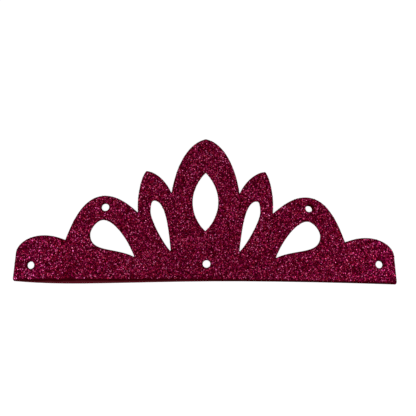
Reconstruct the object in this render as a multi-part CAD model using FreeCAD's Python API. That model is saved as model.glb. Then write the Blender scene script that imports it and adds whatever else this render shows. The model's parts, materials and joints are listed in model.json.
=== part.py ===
import FreeCAD, Part
import os

# A wearable party crown, cut as one flat piece from a glittered craft sheet.
# It lies face up: X runs along its width, Y towards the middle tip, Z up from the underside.
# Both halves follow the same template, mirrored in X. All sizes are in millimetres. While it is
# drawn, X starts at the middle line and heights run along Y from the two bottom corners.

Vector = FreeCAD.Vector

# The sheet
sheet_thickness = 2.0
point_rounding = 1.2        # at the middle point and the leaf tips
corner_rounding = 1.0       # at the two bottom corners
notch_rounding = 0.25       # where two shapes of the outline meet
opening_rounding = 0.4      # at the pointed ends of the openings

# Widths, from the middle line outwards
middle_half_width = 25.7
leaf_width = 25.2
arch_width = 54.7
lobe_width = 39.4

# Heights above the bottom corners, and the notches below them
crown_height = 107.5
leaf_height = 83.2
leaf_notch_depth = 16.8
arch_height = 64.2
arch_notch_depth = 12.6
lobe_height = 33.9
lobe_notch_depth = 3.4

# Where the highest point of each shape lies
leaf_tip_inset = 6.1        # in from the leaf's outer notch
arch_top_inset = 24.6       # out from the arch's inner notch
lobe_top_inset = 23.0       # in from the bottom corner

# The straight side edge below the end lobe
shoulder_drop = 13.4        # it ends this far below the lobe's top
side_lean = 0.112           # leans in this much for each millimetre of height

# The bottom edge was cut by hand, with the blade held on the slant
bottom_rise = 1.6           # the edge of the face arches up this far at the middle
# A place as a share of the half width, and how far the underside stands out past the face there
bottom_slants = ((-1.07, -0.3), (-0.8, 3.0), (-0.5, 3.15), (0, 1.6), (0.5, 1.05), (1.07, 1.2))

# The eye-shaped opening in the middle
eye_width = 19.4
eye_foot_height = 38.2
eye_top_margin = 25.5       # below the middle point
eye_waist = 0.5             # the widest place, as a share of its height

# The narrow drop in each side leaf
slit_foot_height = 22.4
slit_top_margin = 22.4      # below the leaf's tip
slit_inner_margin = 0.1     # out from the leaf's inner notch
slit_outer_margin = 9.4     # in from the leaf's outer notch
slit_bulge = (0.83, 0.79)   # the top's share of its width, and the side's share of its height

# The wide drop in each arch
drop_foot_height = 17.9
drop_top_margin = 18.3      # below the arch's top
drop_inner_margin = 2.3     # out from the arch's inner notch
drop_outer_margin = 18.6    # in from the arch's outer notch
drop_bulge = (0.70, 0.60)

# The punched holes, placed by hand, so they miss the mirrored places a little
hole_diameter = 5.8         # a little under an ordinary 6 mm punch
middle_hole_shift = 1.2
middle_hole_height = 13.3
end_hole_inset = 13.5       # in from the bottom corner
left_end_hole_height = 11.2
right_end_hole_height = 13.9
arch_hole_margin = 8.8      # below the arch's top
left_arch_hole_shift = 0.0  # outwards from the arch's top
right_arch_hole_shift = 2.5

# How each stretch swings: its two handles, as shares of the way across and along it
lobe_outer_swing = ((None, 0.52), (0.47, 1.0))      # leaves in line with the side edge
lobe_inner_swing = ((0.5, 0.0), (0.78, 0.66))
arch_outer_swing = ((0.54, 0.0), (0.82, 0.57))
arch_inner_swing = ((0.35, 0.0), (0.67, 0.42))
leaf_outer_swing = ((-0.18, 0.41), (0.37, 0.86))
leaf_inner_swing = ((0.49, 0.06), (0.855, 0.60))
middle_swing = ((0.10, 0.43), (0.42, 0.925))
eye_upper_swing = ((0.0, 0.49), (0.71, 0.89))
eye_lower_swing = ((0.25, 0.09), (1.0, 0.45))
slit_swings = (((0.32, 0.15), (1.0, 0.77)), ((0.0, 0.70), (0.40, 1.0)), ((0.70, 0.0), (0.85, 0.55)))
drop_swings = (((0.42, 0.46), (1.0, 0.16)), ((0.0, 0.40), (0.52, 1.0)), ((0.33, 0.0), (0.78, 0.50)))

half_width = middle_half_width + leaf_width + arch_width + lobe_width
tool_overrun = 10.0         # how far every cutting tool reaches past the sheet
full_height = 0.99 * sheet_thickness    # an edge taller than this runs through the sheet

# The points of the right half
below_corner = (half_width + side_lean * tool_overrun, -tool_overrun)
shoulder_height = lobe_height - shoulder_drop
shoulder = (half_width - side_lean * shoulder_height, shoulder_height)
lobe_top = (half_width - lobe_top_inset, lobe_height)
lobe_notch = (half_width - lobe_width, lobe_height - lobe_notch_depth)
arch_notch = (middle_half_width + leaf_width, arch_height - arch_notch_depth)
arch_top = (arch_notch[0] + arch_top_inset, arch_height)
leaf_tip = (arch_notch[0] - leaf_tip_inset, leaf_height)
leaf_notch = (middle_half_width, leaf_height - leaf_notch_depth)
middle_point = (0, crown_height)


def swing(start, end, handles):
    """One curved stretch between two points, bent by its two handles."""
    across = end[0] - start[0]
    along = end[1] - start[1]
    poles = [Vector(*start, 0)]
    for share_across, share_along in handles:
        poles.append(Vector(start[0] + share_across * across, start[1] + share_along * along, 0))
    poles.append(Vector(*end, 0))
    curve = Part.BezierCurve()
    curve.setPoles(poles)
    return curve.toShape()


def straight(start, end):
    """A straight stretch between two points."""
    return Part.makeLine(Vector(*start, 0), Vector(*end, 0))


def mirrored(edges):
    """The same stretches on the other side of the middle line."""
    return [edge.mirror(Vector(0, 0, 0), Vector(1, 0, 0)) for edge in edges]


def prism(edges, low, high):
    """The area inside a closed run of edges, thickened from one level up to another."""
    wire = Part.Wire(Part.__sortEdges__(edges))
    solid = Part.Face(wire).extrude(Vector(0, 0, high - low))
    solid.translate(Vector(0, 0, low))
    return solid


def side_to_lobe():
    """The handles of the stretch over the lobe's shoulder, the first in line with the side edge."""
    first, second = lobe_outer_swing
    rise = first[1] * (lobe_top[1] - shoulder[1])
    share_across = -side_lean * rise / (lobe_top[0] - shoulder[0])
    return ((share_across, first[1]), second)


def outline_half():
    """The right half of the outline, from below the bottom corner up to the middle point."""
    return [
        straight(below_corner, shoulder),
        swing(shoulder, lobe_top, side_to_lobe()),
        swing(lobe_top, lobe_notch, lobe_inner_swing),
        swing(arch_top, lobe_notch, arch_outer_swing),
        swing(arch_top, arch_notch, arch_inner_swing),
        swing(arch_notch, leaf_tip, leaf_outer_swing),
        swing(leaf_tip, leaf_notch, leaf_inner_swing),
        swing(leaf_notch, middle_point, middle_swing),
    ]


def blank():
    """The sheet cut along its outline, and running on below the corners."""
    half = outline_half()
    base = straight((-below_corner[0], below_corner[1]), below_corner)
    return prism(half + mirrored(half) + [base], 0, sheet_thickness)


def drop_outline(left, right, foot, top, bulge, swings):
    """A drop in its box: from the pointed foot out to its side, over its round top and back."""
    foot_point = (left, foot)
    side_point = (right, foot + bulge[1] * (top - foot))
    top_point = (left + bulge[0] * (right - left), top)
    return [
        swing(foot_point, side_point, swings[0]),
        swing(side_point, top_point, swings[1]),
        swing(top_point, foot_point, swings[2]),
    ]


eye_top = (0, crown_height - eye_top_margin)
eye_foot = (0, eye_foot_height)
eye_side = (eye_width / 2, eye_foot_height + eye_waist * (eye_top[1] - eye_foot_height))
slit_foot = (leaf_notch[0] + slit_inner_margin, slit_foot_height)
drop_foot = (arch_notch[0] + drop_inner_margin, drop_foot_height)


def openings():
    """The eye and the four drops, as cutting prisms."""
    eye_half = [
        swing(eye_side, eye_top, eye_upper_swing),
        swing(eye_foot, eye_side, eye_lower_swing),
    ]
    slit = drop_outline(
        slit_foot[0],
        arch_notch[0] - slit_outer_margin,
        slit_foot[1],
        leaf_height - slit_top_margin,
        slit_bulge,
        slit_swings,
    )
    drop = drop_outline(
        drop_foot[0],
        lobe_notch[0] - drop_outer_margin,
        drop_foot[1],
        arch_height - drop_top_margin,
        drop_bulge,
        drop_swings,
    )
    outlines = [eye_half + mirrored(eye_half), slit, mirrored(slit), drop, mirrored(drop)]
    return [prism(edges, -tool_overrun, sheet_thickness + tool_overrun) for edges in outlines]


def punched_holes():
    """One stroke of the punch for each of the five holes."""
    end_x = half_width - end_hole_inset
    arch_hole_height = arch_height - arch_hole_margin
    places = [
        (middle_hole_shift, middle_hole_height),
        (-end_x, left_end_hole_height),
        (end_x, right_end_hole_height),
        (-arch_top[0] - left_arch_hole_shift, arch_hole_height),
        (arch_top[0] + right_arch_hole_shift, arch_hole_height),
    ]
    length = sheet_thickness + 2 * tool_overrun
    return [
        Part.makeCylinder(hole_diameter / 2, length, Vector(x, y, -tool_overrun))
        for x, y in places
    ]


def knife_path(level):
    """The line that the blade runs along at one level of the sheet, from left to right."""
    depth_share = (sheet_thickness - level) / sheet_thickness
    points = []
    for share, slant in bottom_slants:
        face_edge = bottom_rise * (1 - share ** 2)
        points.append(Vector(share * half_width, face_edge - slant * depth_share, level))
    path = Part.BSplineCurve()
    path.interpolate(points)
    return path.toShape()


def bottom_knife():
    """All that the slanting cut takes off below the bottom edge."""
    overrun = sheet_thickness / 2
    cut_face = Part.makeRuledSurface(knife_path(-overrun), knife_path(sheet_thickness + overrun))
    return cut_face.extrude(Vector(0, -2 * tool_overrun, 0))


def upright_edge(solid, place):
    """The edge through the sheet's thickness that lies nearest to one place."""
    upright = [e for e in solid.Edges if e.BoundBox.ZLength > full_height]
    return min(upright, key=lambda e: (e.CenterOfMass - Vector(*place, sheet_thickness / 2)).Length)


def rounded_corners(solid):
    """Takes the sharpness off every upright edge of the outline and the openings."""
    corners = [
        (leaf_tip, point_rounding),
        ((half_width, 0), corner_rounding),
        (lobe_notch, notch_rounding),
        (arch_notch, notch_rounding),
        (leaf_notch, notch_rounding),
        (slit_foot, opening_rounding),
        (drop_foot, opening_rounding),
    ]
    both_sides = corners + [((-place[0], place[1]), radius) for place, radius in corners]
    on_middle_line = [
        (middle_point, point_rounding),
        (eye_top, opening_rounding),
        (eye_foot, opening_rounding),
    ]
    for place, radius in both_sides + on_middle_line:
        solid = solid.makeFillet(radius, [upright_edge(solid, place)])
    return solid


def crown():
    """The whole piece, with its heights still measured from the bottom corners."""
    solid = blank().cut(bottom_knife())
    for opening in openings():
        solid = solid.cut(opening)
    solid = rounded_corners(solid)
    for hole in punched_holes():
        solid = solid.cut(hole)
    return solid


sheet = crown()
box = sheet.optimalBoundingBox(False, False)
sheet.translate(Vector(-box.Center.x, -box.Center.y, -box.ZMin))
os.makedirs("parts", exist_ok=True)
sheet.exportStep("parts/crown.step")
print("valid", sheet.isValid(), "solids", len(sheet.Solids), "faces", len(sheet.Faces))
print("box", round(box.XLength, 3), round(box.YLength, 3), round(box.ZLength, 3))
print("moved by", round(-box.Center.x, 4), round(-box.Center.y, 4), "volume", round(sheet.Volume, 1))
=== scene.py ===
import json
import math

import bmesh
import bpy
import numpy as np
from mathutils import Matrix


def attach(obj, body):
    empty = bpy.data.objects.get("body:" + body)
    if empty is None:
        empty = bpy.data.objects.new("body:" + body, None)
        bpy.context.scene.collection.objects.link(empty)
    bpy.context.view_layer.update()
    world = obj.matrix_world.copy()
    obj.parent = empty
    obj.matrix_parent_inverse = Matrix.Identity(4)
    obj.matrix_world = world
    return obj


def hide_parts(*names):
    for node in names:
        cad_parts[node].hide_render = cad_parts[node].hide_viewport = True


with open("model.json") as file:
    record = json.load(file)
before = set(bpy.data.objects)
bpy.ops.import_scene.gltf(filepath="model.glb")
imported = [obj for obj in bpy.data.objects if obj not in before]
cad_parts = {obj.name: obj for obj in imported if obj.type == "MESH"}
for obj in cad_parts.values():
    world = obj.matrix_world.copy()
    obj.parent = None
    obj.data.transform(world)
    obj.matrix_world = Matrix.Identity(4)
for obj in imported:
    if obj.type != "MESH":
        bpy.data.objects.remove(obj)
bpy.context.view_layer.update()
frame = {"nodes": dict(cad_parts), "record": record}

mm = 0.001

# Camera: straight down, from about the height of a hand-held camera over a table.
viewpoint = {
    "height": 450 * mm,            # lens above the glittered face
    "faceLevel": 1.6 * mm,
    "widthSeen": 313.84 * mm,      # what the frame spans at the face
    "middle": (1.935 * mm, 3.14 * mm),
    "turn": 0.0086,                # in radians; it sets the crown a little askew in the frame
    "sensor": 36.0,
    "nearest": 0.01,
    "farthest": 20,
}


def makeCamera():
    lens = bpy.data.cameras.new("tableCamera")
    lens.sensor_width = viewpoint["sensor"]
    lens.lens = viewpoint["sensor"] * viewpoint["height"] / viewpoint["widthSeen"]
    lens.clip_start = viewpoint["nearest"]
    lens.clip_end = viewpoint["farthest"]
    camera = bpy.data.objects.new("tableCamera", lens)
    bpy.context.collection.objects.link(camera)
    camera.location = (*viewpoint["middle"], viewpoint["faceLevel"] + viewpoint["height"])
    camera.rotation_euler = (0, 0, viewpoint["turn"])
    bpy.context.scene.camera = camera


makeCamera()
print("camera is over the table")


def toLinear(hexColour):
    parts = [int(hexColour[at:at + 2], 16) / 255 for at in (1, 3, 5)]
    return [c / 12.92 if c <= 0.04045 else ((c + 0.055) / 1.055) ** 2.4 for c in parts] + [1.0]


# Adds a node, sets it, and fills its sockets with values or links. A socket that shares its name
# with another one is given by its number.
def addNode(tree, kind, settings=None, sockets=None):
    node = tree.nodes.new(kind)
    for name, value in (settings or {}).items():
        setattr(node, name, value)
    for name, value in (sockets or {}).items():
        if isinstance(value, bpy.types.NodeSocket):
            tree.links.new(value, node.inputs[name])
        else:
            node.inputs[name].default_value = value
    return node


def setStops(ramp, stops):
    colours = ramp.color_ramp
    while len(colours.elements) < len(stops):
        colours.elements.new(0.5)
    for element, (place, hexColour) in zip(colours.elements, sorted(stops)):
        element.position = place
        element.color = toLinear(hexColour)


def newMaterial(name):
    material = bpy.data.materials.new(name)
    material.use_nodes = True
    tree = material.node_tree
    tree.nodes.clear()
    return material, tree


# Glitter flakes: polyester film, dyed and then aluminised, so each flake is a small coloured mirror
# with a slightly hazy face. Flakes differ at random from maroon to pink; much of this spread, and
# the bright pink end, is painted glint.
flakeLook = {
    # flake tones; the bright pink end stands for painted glints
    "tonesAndGlints": [
        (0.0, "#1f0003"),
        (0.3, "#390009"),
        (0.55, "#550017"),
        (0.75, "#780729"),
        (0.88, "#991d3f"),
        (0.96, "#b83d63"),
        (1.0, "#d86b95"),
    ],
    "sameHue": 0.5,                # at this setting a colour keeps its hue
    "hues": (-0.022, 0.012),       # towards purple, towards red
    "endReflectionHue": -0.005,              # painted reflection: both ends of the sheet are turned a little more violet
    "endFrom": 112 * mm,
    "endTo": 135 * mm,
    "edgeTint": "#b4486c",         # the dye colours the mirror at low angles too
    "roughness": 0.28,
}


def flakeMaterial():
    material, tree = newMaterial("aluminisedPolyesterFlakes")
    tone = addNode(tree, "ShaderNodeAttribute", {"attribute_name": "flakeTone"})
    tint = addNode(tree, "ShaderNodeAttribute", {"attribute_name": "flakeTint"})
    toneAndGlint = addNode(tree, "ShaderNodeValToRGB", None, {"Fac": tone.outputs["Fac"]})
    setStops(toneAndGlint, flakeLook["tonesAndGlints"])
    turn = addNode(tree, "ShaderNodeMapRange", None, {
        "Value": tint.outputs["Fac"],
        "To Min": flakeLook["sameHue"] + flakeLook["hues"][0],
        "To Max": flakeLook["sameHue"] + flakeLook["hues"][1],
    })
    place = addNode(tree, "ShaderNodeTexCoord")
    across = addNode(tree, "ShaderNodeSeparateXYZ", None, {"Vector": place.outputs["Object"]})
    outwards = addNode(tree, "ShaderNodeMath", {"operation": "ABSOLUTE"}, {
        0: across.outputs["X"],
    })
    # painted reflection turns the flakes violet towards both ends
    endTurn = addNode(tree, "ShaderNodeMapRange", {"interpolation_type": "SMOOTHSTEP"}, {
        "Value": outwards.outputs["Value"],
        "From Min": flakeLook["endFrom"],
        "From Max": flakeLook["endTo"],
        "To Max": flakeLook["endReflectionHue"],
    })
    wholeTurn = addNode(tree, "ShaderNodeMath", {"operation": "ADD"}, {
        0: turn.outputs["Result"],
        1: endTurn.outputs["Result"],
    })
    dyed = addNode(tree, "ShaderNodeHueSaturation", None, {
        "Hue": wholeTurn.outputs["Value"],
        "Color": toneAndGlint.outputs["Color"],
    })
    film = addNode(tree, "ShaderNodeBsdfPrincipled", None, {
        "Base Color": dyed.outputs["Color"],
        "Metallic": 1.0,
        "Roughness": flakeLook["roughness"],
        "Specular Tint": toLinear(flakeLook["edgeTint"]),
    })
    addNode(tree, "ShaderNodeOutputMaterial", None, {"Surface": film.outputs["BSDF"]})
    return material


# Glue coat: clear-drying adhesive full of glitter dust, rolled on and cured. It shows between the
# flakes and on the pressed lip. Such dust is usually about 0.2 mm, too fine to show, so its
# grains are drawn 0.7 mm apart.
coatLook = {
    "grain": 0.7 * mm,
    "tones": [
        (0.0, "#1c0004"),
        (0.45, "#32010a"),
        (0.75, "#4a0514"),
        (1.0, "#6c1630"),
    ],
    "bare": "#34000a",             # dark glue where few flakes stay; on the lip it is painted shade
    "bareAndShadeShare": 0.45,             # flake share from which the dusty glue has wholly replaced that dark colour
    "grainTilt": 0.35,
    "metallic": 1.0,
    "roughness": 0.42,
}


def coatMaterial():
    material, tree = newMaterial("glitterDustInCuredGlue")
    place = addNode(tree, "ShaderNodeTexCoord")
    grains = addNode(tree, "ShaderNodeTexVoronoi", None, {
        "Vector": place.outputs["Object"],
        "Scale": 1 / coatLook["grain"],
    })
    channels = addNode(tree, "ShaderNodeSeparateColor", None, {"Color": grains.outputs["Color"]})
    tones = addNode(tree, "ShaderNodeValToRGB", None, {"Fac": channels.outputs["Red"]})
    setStops(tones, coatLook["tones"])
    share = addNode(tree, "ShaderNodeAttribute", {"attribute_name": "flakeShare"})
    kept = addNode(tree, "ShaderNodeMapRange", None, {
        "Value": share.outputs["Fac"],
        "From Max": coatLook["bareAndShadeShare"],
    })
    # painted shade: where few flakes stay, as on the lip, the glue turns dark
    colour = addNode(tree, "ShaderNodeMix", {"data_type": "RGBA"}, {
        0: kept.outputs["Result"],
        6: toLinear(coatLook["bare"]),
        7: tones.outputs["Color"],
    })
    # each grain's random colour, less the middle grey, is the way that it leans
    lean = addNode(tree, "ShaderNodeVectorMath", {"operation": "SUBTRACT"}, {
        0: grains.outputs["Color"],
        1: (0.5, 0.5, 0.5),
    })
    leanSize = addNode(tree, "ShaderNodeVectorMath", {"operation": "SCALE"}, {
        0: lean.outputs["Vector"],
        "Scale": coatLook["grainTilt"],
    })
    surface = addNode(tree, "ShaderNodeNewGeometry")
    leaning = addNode(tree, "ShaderNodeVectorMath", {"operation": "ADD"}, {
        0: surface.outputs["Normal"],
        1: leanSize.outputs["Vector"],
    })
    facing = addNode(tree, "ShaderNodeVectorMath", {"operation": "NORMALIZE"}, {
        0: leaning.outputs["Vector"],
    })
    coat = addNode(tree, "ShaderNodeBsdfPrincipled", None, {
        "Base Color": colour.outputs[2],
        "Metallic": coatLook["metallic"],
        "Roughness": coatLook["roughness"],
        "Specular Tint": toLinear(flakeLook["edgeTint"]),
        "Normal": facing.outputs["Vector"],
    })
    addNode(tree, "ShaderNodeOutputMaterial", None, {"Surface": coat.outputs["BSDF"]})
    return material


# Craft foam: EVA dyed through and knife-cut, so its cut shows fine closed cells and stays matt.
# The upper part of the cut is darkened with painted shade. The walls of the punched holes and a
# stretch of the bottom cut are painted in shade nearly all over.
foamLook = {
    "cell": 0.3 * mm,              # usually 0.1 to 0.2 mm, drawn coarser so that cells show
    "cellTones": [
        (0.15, "#4c111b"),         # painted shade in the hollow of a cell
        (0.55, "#5e1823"),         # on the walls between cells
    ],
    "cellRelief": 0.1 * mm,
    "reliefStrength": 0.8,
    # painted shade: the colour of the upper part of the cut
    "paintedShade": "#360004",
    "shadeLevel": 1.0 * mm,
    "deepShadeReach": 1.4 * mm,      # how much deeper the painted shade reaches where it is full
    "shadeBlur": 0.25 * mm,
    "shadeWander": 0.5 * mm,
    "wanderLength": 3 * mm,
    "wanderDetail": 3.0,
    "roughness": 0.85,
    "gloss": 0.02,
}


def foamMaterial():
    material, tree = newMaterial("knifeCutEvaFoam")
    place = addNode(tree, "ShaderNodeTexCoord")
    cells = addNode(tree, "ShaderNodeTexVoronoi", None, {
        "Vector": place.outputs["Object"],
        "Scale": 1 / foamLook["cell"],
    })
    plain = addNode(tree, "ShaderNodeValToRGB", None, {"Fac": cells.outputs["Distance"]})
    setStops(plain, foamLook["cellTones"])
    wander = addNode(tree, "ShaderNodeTexNoise", None, {
        "Vector": place.outputs["Object"],
        "Scale": 1 / foamLook["wanderLength"],
        "Detail": foamLook["wanderDetail"],
    })
    offset = addNode(tree, "ShaderNodeMapRange", None, {
        "Value": wander.outputs["Fac"],
        "To Min": -foamLook["shadeWander"] / 2,
        "To Max": foamLook["shadeWander"] / 2,
    })
    height = addNode(tree, "ShaderNodeSeparateXYZ", None, {"Vector": place.outputs["Object"]})
    wandering = addNode(tree, "ShaderNodeMath", {"operation": "ADD"}, {
        0: height.outputs["Z"],
        1: offset.outputs["Result"],
    })
    deepShade = addNode(tree, "ShaderNodeAttribute", {"attribute_name": "deepShade"})
    level = addNode(tree, "ShaderNodeMath", {"operation": "MULTIPLY_ADD"}, {
        0: deepShade.outputs["Fac"],
        1: foamLook["deepShadeReach"],
        2: wandering.outputs["Value"],
    })
    share = addNode(tree, "ShaderNodeMapRange", {"interpolation_type": "SMOOTHSTEP"}, {
        "Value": level.outputs["Value"],
        "From Min": foamLook["shadeLevel"] - foamLook["shadeBlur"],
        "From Max": foamLook["shadeLevel"] + foamLook["shadeBlur"],
    })
    # painted shade over the upper part of the cut
    colour = addNode(tree, "ShaderNodeMix", {"data_type": "RGBA"}, {
        0: share.outputs["Result"],
        6: plain.outputs["Color"],
        7: toLinear(foamLook["paintedShade"]),
    })
    relief = addNode(tree, "ShaderNodeBump", None, {
        "Height": cells.outputs["Distance"],
        "Distance": foamLook["cellRelief"],
        "Strength": foamLook["reliefStrength"],
    })
    foam = addNode(tree, "ShaderNodeBsdfPrincipled", None, {
        "Base Color": colour.outputs[2],
        "Roughness": foamLook["roughness"],
        "Specular IOR Level": foamLook["gloss"],
        "Normal": relief.outputs["Normal"],
    })
    addNode(tree, "ShaderNodeOutputMaterial", None, {"Surface": foam.outputs["BSDF"]})
    return material


coat = coatMaterial()
foam = foamMaterial()
flakeFilm = flakeMaterial()
print("materials are mixed")


# The sheet: the cut foam, with its glue face sunk a little under the tops of the flakes, and a
# pressed, rounded lip round the outline and every opening.
sheet = {
    "sunk": 0.17 * mm,
    "lipRadius": 0.35 * mm,
    "lipSteps": 3,
    "borderWidth": 0.55 * mm,      # beside the lip, it keeps the shading of the flat face even
    "sharpAngle": math.radians(42),
    "sameSpot": 0.001 * mm,
    "sliver": 0.02 * mm,           # the insets leave smaller gaps than this at tight corners
    "tolerance": 0.01 * mm,
    # how much of the face's flakes, and of the thickest dust, stays on each part of it; the few
    # flakes on the lip, and the fewest along the bottom cut, leave it dark as painted shade
    "face": {"flakes": 1.0, "atBottom": 1.0, "dust": 0.0},
    "lip": {"flakes": 0.15, "atBottom": 0.02, "dust": 1.0},
    "border": {"flakes": 0.5, "atBottom": 0.12, "dust": 0.4},
    "cutDust": 0.35,               # on the uppermost part of the slanted cut
    "cutDustLevel": 1.3 * mm,
    "bottomReach": -48 * mm,       # what lies lower than this belongs to the bottom cut
    "shadeStart": 8 * mm,          # along the bottom cut the full painted shade sets in here
    "shadeEnd": 30 * mm,           # and is whole from here on
    # these four holes look narrower than the middle one, taken to be a slanting punch: how far
    # a hole's mouth lies off its other end, across and up, found by trial
    "punchLean": {
        "left_end_hole": (-0.5 * mm, 0.45 * mm),
        "right_end_hole": (0.4 * mm, 0.55 * mm),
        "left_arch_hole": (-0.1 * mm, 0.5 * mm),
        "right_arch_hole": (0.75 * mm, 1.35 * mm),
    },
}
coatSlot = 0
foamSlot = 1


# Marks the stretch of the bottom cut that is painted in full shade.
def shadeBottomCut(bm, deepShade):
    for v in bm.verts:
        if v.co.y < sheet["bottomReach"]:
            along = (v.co.x - sheet["shadeStart"]) / (sheet["shadeEnd"] - sheet["shadeStart"])
            v[deepShade] = min(max(along, 0.0), 1.0)


# Leans a punched hole about its middle, and paints its wall in full shade.
def leanHole(bm, deepShade, mount, thickness):
    x, y = mount["pos_m"][:2]
    reach = mount["dims"]["r_mm"] * mm + sheet["tolerance"]
    acrossLean, upLean = sheet["punchLean"].get(mount["name"], (0, 0))
    for v in bm.verts:
        if math.hypot(v.co.x - x, v.co.y - y) < reach:
            share = v.co.z / thickness - 0.5
            v.co.x += share * acrossLean
            v.co.y += share * upLean
            v[deepShade] = 1.0


def raiseFaces(bm, faces, rise):
    around = {v for f in faces for v in f.verts}
    bmesh.ops.translate(bm, verts=list(around), vec=(0, 0, rise))


def coverFaces(bm, faces, part):
    flakes = bm.faces.layers.float["flakeShare"]
    dust = bm.faces.layers.float["dustShare"]
    for f in faces:
        atBottom = f.calc_center_median().y < sheet["bottomReach"]
        f.material_index = coatSlot
        f[flakes] = part["atBottom" if atBottom else "flakes"]
        f[dust] = part["dust"]


def insetFaces(bm, faces, width):
    return bmesh.ops.inset_region(
        bm, faces=faces, thickness=width, use_even_offset=True, use_boundary=True,
    )["faces"]


# Sinks the face, rounds the wall over to it in a few steps, and leaves an even border.
def pressFace(bm, face):
    radius = sheet["lipRadius"]
    raiseFaces(bm, face, -sheet["sunk"] - radius)
    angles = [math.pi / 2 * step / sheet["lipSteps"] for step in range(sheet["lipSteps"] + 1)]
    for low, high in zip(angles, angles[1:]):
        ring = insetFaces(bm, face, radius * (math.cos(low) - math.cos(high)))
        raiseFaces(bm, face, radius * (math.sin(high) - math.sin(low)))
        coverFaces(bm, ring, sheet["lip"])
    coverFaces(bm, insetFaces(bm, face, sheet["borderWidth"]), sheet["border"])
    coverFaces(bm, face, sheet["face"])


def makeSheet():
    bm = bmesh.new()
    bm.from_mesh(frame["nodes"]["crown"].data)
    bmesh.ops.remove_doubles(bm, verts=bm.verts[:], dist=sheet["sameSpot"])
    bm.faces.layers.float.new("flakeShare")
    dust = bm.faces.layers.float.new("dustShare")
    deepShade = bm.verts.layers.float.new("deepShade")
    top = max(v.co.z for v in bm.verts)
    shadeBottomCut(bm, deepShade)
    for mount in frame["record"]["mounts"]:
        if mount["kind"] == "bore":
            leanHole(bm, deepShade, mount, top)
    face = [f for f in bm.faces if min(v.co.z for v in f.verts) > top - sheet["tolerance"]]
    for f in bm.faces:
        f.material_index = foamSlot
        f.smooth = True
        if min(v.co.z for v in f.verts) > sheet["cutDustLevel"]:
            f[dust] = sheet["cutDust"]
    pressFace(bm, face)
    bmesh.ops.remove_doubles(bm, verts=bm.verts[:], dist=sheet["sliver"])
    for edge in bm.edges:
        edge.smooth = edge.calc_face_angle(0) < sheet["sharpAngle"]
    mesh = bpy.data.meshes.new("glitterSheet")
    bm.to_mesh(mesh)
    bm.free()
    mesh.materials.append(coat)
    mesh.materials.append(foam)
    piece = bpy.data.objects.new("glitterSheet", mesh)
    bpy.context.collection.objects.link(piece)
    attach(piece, "root")
    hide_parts("crown")
    return piece


glitterSheet = makeSheet()
print("sheet is cut,", len(glitterSheet.data.polygons), "faces")


# The glitter: six-sided flakes, stuck in the glue at small random angles, and the fine dust that
# comes off them and clings to the lip, beside it and to the top of the slanted cut. Craft flakes
# are usually 0.2 to 0.4 mm across, too fine to show, so they are drawn about 0.8 mm across.
glitter = {
    "glitterFlakes": {
        "share": "flakeShare",
        "radius": 0.42 * mm,
        "spacing": 0.44 * mm,
        "density": 7 / mm ** 2,    # tries before the spacing thins them out
        "sizes": (0.75, 1.15),
        "lean": math.radians(11),  # each of two random leans, added up
        "lift": (0.03 * mm, 0.1 * mm),
        "tones": (0.0, 1.0),
        "seed": 11,
    },
    "glitterDust": {
        "share": "dustShare",
        "radius": 0.14 * mm,
        "spacing": 0.26 * mm,
        "density": 20 / mm ** 2,
        "sizes": (0.6, 1.3),
        "lean": math.radians(14),
        "lift": (0.01 * mm, 0.03 * mm),
        "tones": (0.0, 0.7),
        "seed": 31,
    },
}
flakeSides = 6
highestFlake = 2.04 * mm           # corners that stand up further are pressed down to it
mapFill = 0.4                      # a flake's radius on its map, as a share of its square
drawSeeds = {"lift": 1, "firstLean": 2, "secondLean": 3, "size": 4, "flakeTone": 5, "flakeTint": 6}


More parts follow.
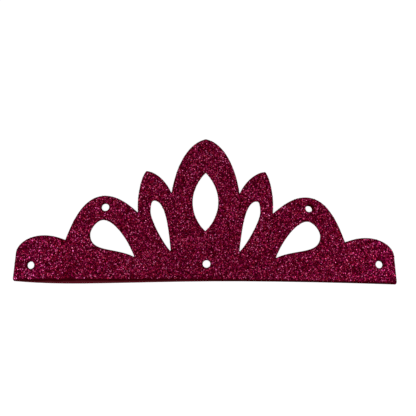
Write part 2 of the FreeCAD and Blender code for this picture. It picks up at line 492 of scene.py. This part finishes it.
# Scatters glitter over a mesh; its share attribute says where it is thinner.
def scatterTree(name, kind):
    tree = bpy.data.node_groups.new(name, "GeometryNodeTree")
    for direction in ("INPUT", "OUTPUT"):
        tree.interface.new_socket("Geometry", in_out=direction, socket_type="NodeSocketGeometry")
    given = addNode(tree, "NodeGroupInput")
    share = addNode(tree, "GeometryNodeInputNamedAttribute", {"data_type": "FLOAT"}, {
        "Name": kind["share"],
    })
    spots = addNode(tree, "GeometryNodeDistributePointsOnFaces", {"distribute_method": "POISSON"}, {
        "Mesh": given.outputs["Geometry"],
        "Distance Min": kind["spacing"],
        "Density Max": kind["density"],
        "Density Factor": share.outputs["Attribute"],
        "Seed": kind["seed"],
    })

    def randomNumber(low, high, draw):
        return addNode(tree, "FunctionNodeRandomValue", {"data_type": "FLOAT"}, {
            2: low,
            3: high,
            "Seed": drawSeeds[draw],
        }).outputs[1]

    def randomLean(spin, draw):
        lean = kind["lean"]
        vector = addNode(tree, "FunctionNodeRandomValue", {"data_type": "FLOAT_VECTOR"}, {
            0: (-lean, -lean, 0),
            1: (lean, lean, spin),
            "Seed": drawSeeds[draw],
        })
        return addNode(tree, "FunctionNodeEulerToRotation", None, {
            "Euler": vector.outputs[0],
        }).outputs["Rotation"]

    lift = addNode(tree, "ShaderNodeVectorMath", {"operation": "SCALE"}, {
        0: spots.outputs["Normal"],
        "Scale": randomNumber(*kind["lift"], "lift"),
    })
    lifted = addNode(tree, "GeometryNodeSetPosition", None, {
        "Geometry": spots.outputs["Points"],
        "Offset": lift.outputs["Vector"],
    })
    firstLean = addNode(tree, "FunctionNodeRotateRotation", {"rotation_space": "LOCAL"}, {
        "Rotation": spots.outputs["Rotation"],
        "Rotate By": randomLean(0, "firstLean"),
    })
    secondLean = addNode(tree, "FunctionNodeRotateRotation", {"rotation_space": "LOCAL"}, {
        "Rotation": firstLean.outputs["Rotation"],
        "Rotate By": randomLean(math.pi, "secondLean"),
    })
    flake = addNode(tree, "GeometryNodeMeshCircle", {"fill_type": "NGON"}, {
        "Vertices": flakeSides,
        "Radius": kind["radius"],
    })
    placed = addNode(tree, "GeometryNodeInstanceOnPoints", None, {
        "Points": lifted.outputs["Geometry"],
        "Instance": flake.outputs["Mesh"],
        "Rotation": secondLean.outputs["Rotation"],
        "Scale": randomNumber(*kind["sizes"], "size"),
    })
    last = placed.outputs["Instances"]
    for attribute, limits in (("flakeTone", kind["tones"]), ("flakeTint", (0, 1))):
        stored = addNode(tree, "GeometryNodeStoreNamedAttribute", {
            "data_type": "FLOAT",
            "domain": "INSTANCE",
        }, {
            "Geometry": last,
            "Name": attribute,
            "Value": randomNumber(*limits, attribute),
        })
        last = stored.outputs["Geometry"]
    real = addNode(tree, "GeometryNodeRealizeInstances", None, {"Geometry": last})
    addNode(tree, "NodeGroupOutput", None, {"Geometry": real.outputs["Geometry"]})
    return tree


def pressDown(mesh):
    places = np.empty(len(mesh.vertices) * 3, dtype=np.float32)
    mesh.vertices.foreach_get("co", places)
    places = places.reshape(-1, 3)
    places[:, 2] = np.minimum(places[:, 2], highestFlake)
    mesh.vertices.foreach_set("co", places.ravel())
    mesh.update()


# Each flake gets its own square of the map, so that a bake keeps its colour apart.
def spreadFlakeMap(mesh):
    columns = math.ceil(math.sqrt(len(mesh.polygons)))
    corner = np.arange(len(mesh.loops))
    flake = corner // flakeSides
    angle = 2 * math.pi / flakeSides * (corner % flakeSides)
    across = (flake % columns + 0.5 + mapFill * np.cos(angle)) / columns
    up = (flake // columns + 0.5 + mapFill * np.sin(angle)) / columns
    layer = mesh.uv_layers.new(name="OFBake", do_init=False)
    layer.uv.foreach_set("vector", np.stack([across, up], 1).astype(np.float32).ravel())


def makeGlitter(name, kind):
    bm = bmesh.new()
    bm.from_mesh(glitterSheet.data)
    share = bm.faces.layers.float[kind["share"]]
    bare = [f for f in bm.faces if f[share] == 0]
    bmesh.ops.delete(bm, geom=bare, context="FACES")
    base = bpy.data.meshes.new("glitterBase")
    bm.to_mesh(base)
    bm.free()
    piece = bpy.data.objects.new(name, base)
    bpy.context.collection.objects.link(piece)
    modifier = piece.modifiers.new("scatter", "NODES")
    modifier.node_group = scatterTree(name, kind)
    evaluated = piece.evaluated_get(bpy.context.evaluated_depsgraph_get())
    mesh = bpy.data.meshes.new_from_object(evaluated)
    piece.modifiers.clear()
    piece.data = mesh
    bpy.data.meshes.remove(base)
    pressDown(mesh)
    spreadFlakeMap(mesh)
    mesh.materials.clear()
    mesh.materials.append(flakeFilm)
    mesh.name = name
    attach(piece, "root")
    print(name, "is on,", len(mesh.polygons), "flakes")


for glitterName, glitterKind in glitter.items():
    makeGlitter(glitterName, glitterKind)


# Table: white, and white in the glitter's reflections, with a faint shadow.
table = {
    "level": -0.05 * mm,
    "halfWidth": 3.0,
    "glow": 0.88,
    "shadowed": 0.24,
    "bounce": 0.8,
}


# 1 for rays from the camera and for what glossy or clear surfaces show of the surroundings
def seenRay(tree):
    path = addNode(tree, "ShaderNodeLightPath")
    mirrored = addNode(tree, "ShaderNodeMath", {"operation": "MAXIMUM"}, {
        0: path.outputs["Is Glossy Ray"],
        1: path.outputs["Is Transmission Ray"],
    })
    seen = addNode(tree, "ShaderNodeMath", {"operation": "MAXIMUM"}, {
        0: path.outputs["Is Camera Ray"],
        1: mirrored.outputs["Value"],
    })
    return seen.outputs["Value"]


def tableMaterial():
    material, tree = newMaterial("whiteTable")
    glow = addNode(tree, "ShaderNodeEmission", None, {"Strength": table["glow"]})
    soft = addNode(tree, "ShaderNodeBsdfDiffuse", None, {"Color": [table["shadowed"]] * 3 + [1]})
    seen = addNode(tree, "ShaderNodeAddShader", None, {
        0: glow.outputs["Emission"],
        1: soft.outputs["BSDF"],
    })
    lit = addNode(tree, "ShaderNodeBsdfDiffuse", None, {"Color": [table["bounce"]] * 3 + [1]})
    mixed = addNode(tree, "ShaderNodeMixShader", None, {
        0: seenRay(tree),
        1: lit.outputs["BSDF"],
        2: seen.outputs["Shader"],
    })
    addNode(tree, "ShaderNodeOutputMaterial", None, {"Surface": mixed.outputs["Shader"]})
    return material


def makeTable():
    bm = bmesh.new()
    bmesh.ops.create_grid(bm, x_segments=1, y_segments=1, size=table["halfWidth"])
    bmesh.ops.translate(bm, verts=bm.verts[:], vec=(0, 0, table["level"]))
    mesh = bpy.data.meshes.new("table")
    bm.to_mesh(mesh)
    bm.free()
    mesh.materials.append(tableMaterial())
    plane = bpy.data.objects.new("table", mesh)
    bpy.context.collection.objects.link(plane)


makeTable()

# Light: two soft boxes left and right, as on a copy stand, in an even white room.
lamps = {
    "watts": 2.66,
    "tilt": 0.07,                  # the right box is this much stronger, the left one weaker
    "size": 0.5,
    "distance": 0.9,
    "slant": math.radians(55),     # from straight up
    "colour": "#f2f0ff",
    "towardsBottom": -0.1,
    "room": 0.5,
    "wall": 1.0,                   # the room as the camera and the flakes see it
}


def makeSoftBox(side):
    data = bpy.data.lights.new("softBox", "AREA")
    data.shape = "SQUARE"
    data.size = lamps["size"]
    data.energy = lamps["watts"] * (1 + side * lamps["tilt"])
    data.color = toLinear(lamps["colour"])[:3]
    lamp = bpy.data.objects.new("softBox", data)
    bpy.context.collection.objects.link(lamp)
    lamp.location = (
        side * lamps["distance"] * math.sin(lamps["slant"]),
        lamps["towardsBottom"],
        lamps["distance"] * math.cos(lamps["slant"]),
    )
    lamp.rotation_euler = (0, side * lamps["slant"], 0)


def makeRoom():
    world = bpy.data.worlds.new("whiteRoom")
    world.use_nodes = True
    tree = world.node_tree
    tree.nodes.clear()
    white = (1, 1, 1, 1)
    room = addNode(tree, "ShaderNodeBackground", None, {"Color": white, "Strength": lamps["room"]})
    wall = addNode(tree, "ShaderNodeBackground", None, {"Color": white, "Strength": lamps["wall"]})
    mixed = addNode(tree, "ShaderNodeMixShader", None, {
        0: seenRay(tree),
        1: room.outputs["Background"],
        2: wall.outputs["Background"],
    })
    addNode(tree, "ShaderNodeOutputWorld", None, {"Surface": mixed.outputs["Shader"]})
    bpy.context.scene.world = world


makeSoftBox(-1)
makeSoftBox(1)
makeRoom()
bpy.context.scene.view_settings.view_transform = "Standard"
print("table and lights are set")
